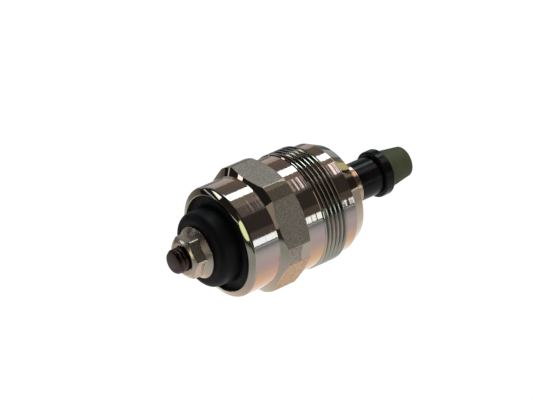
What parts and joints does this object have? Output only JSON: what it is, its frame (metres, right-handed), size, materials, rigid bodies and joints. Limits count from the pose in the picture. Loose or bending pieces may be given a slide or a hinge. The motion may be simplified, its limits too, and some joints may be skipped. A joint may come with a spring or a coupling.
{
  "type": "fuel shutoff solenoid",
  "caption": "Screw-in fuel shutoff solenoid with a hexed and crimped steel housing, a spring-loaded plunger with a rubber cone tip, and a single terminal stud in a black cap.",
  "frame": {"origin": "on the axis, in the plane where the screw thread meets the plain collar", "axes": "+Z along the axis towards the terminal stud; a hexagon flat faces -Y"},
  "size_m": [0.0258, 0.024, 0.0581],
  "materials": {
    "zinc_housing": "bright zinc plate with a faint iridescent passivation, turned, rough on the hexagon's flats",
    "tube_steel": "bright, fine turned",
    "black_rubber": "matte",
    "black_steel": "satin black",
    "olive_rubber": "matte, moulded",
    "spring_steel": "drawn wire",
    "brass": "rolled strip",
    "soft_iron": "turned, bare",
    "bobbin_plastic": "glass-filled nylon",
    "copper_wire": "enamelled copper",
    "coil_tape": "woven insulating tape",
    "fibre": "pressed fibre",
    "cap_plastic": "black phenolic moulding, satin",
    "stud_bronze": "dark oxidised bronze",
    "sleeve_plastic": "plain",
    "zinc_nut": "bright zinc plate"
  },
  "bodies": {
    "body": {"housing": "zinc_housing", "guide_tube": "tube_steel", "tube_ring": "black_rubber", "return_spring": "spring_steel", "core_shim": "brass", "fixed_core": "soft_iron", "core_ring": "black_rubber", "bobbin": "bobbin_plastic", "winding": "copper_wire", "winding_tape": "coil_tape", "wave_washer": "spring_steel", "end_plate": "soft_iron", "cap_gasket": "black_rubber", "insulating_disc": "fibre", "insulator_cap": "cap_plastic", "terminal_stud": "stud_bronze", "stud_ring": "black_rubber", "contact_strip": "brass", "supply_lead": "copper_wire", "lead_sleeve": "sleeve_plastic", "earth_lead": "copper_wire"},
    "plunger": {"plunger": "black_steel", "seal_tip": "olive_rubber"},
    "nut": {"terminal_nut": "zinc_nut"}
  },
  "joints": [
    {"name": "plunger_slide", "type": "slide", "parent": "body", "child": "plunger", "axis": [0, 0, 1], "range_m": [0, 0.0025], "stiffness_N_per_m": 600, "springref_m": -0.008, "deforming": ["return_spring"]},
    {"name": "nut_travel", "type": "slide", "parent": "body", "child": "nut", "axis": [0, 0, 1], "range_m": [0, 0.004]}
  ]
}
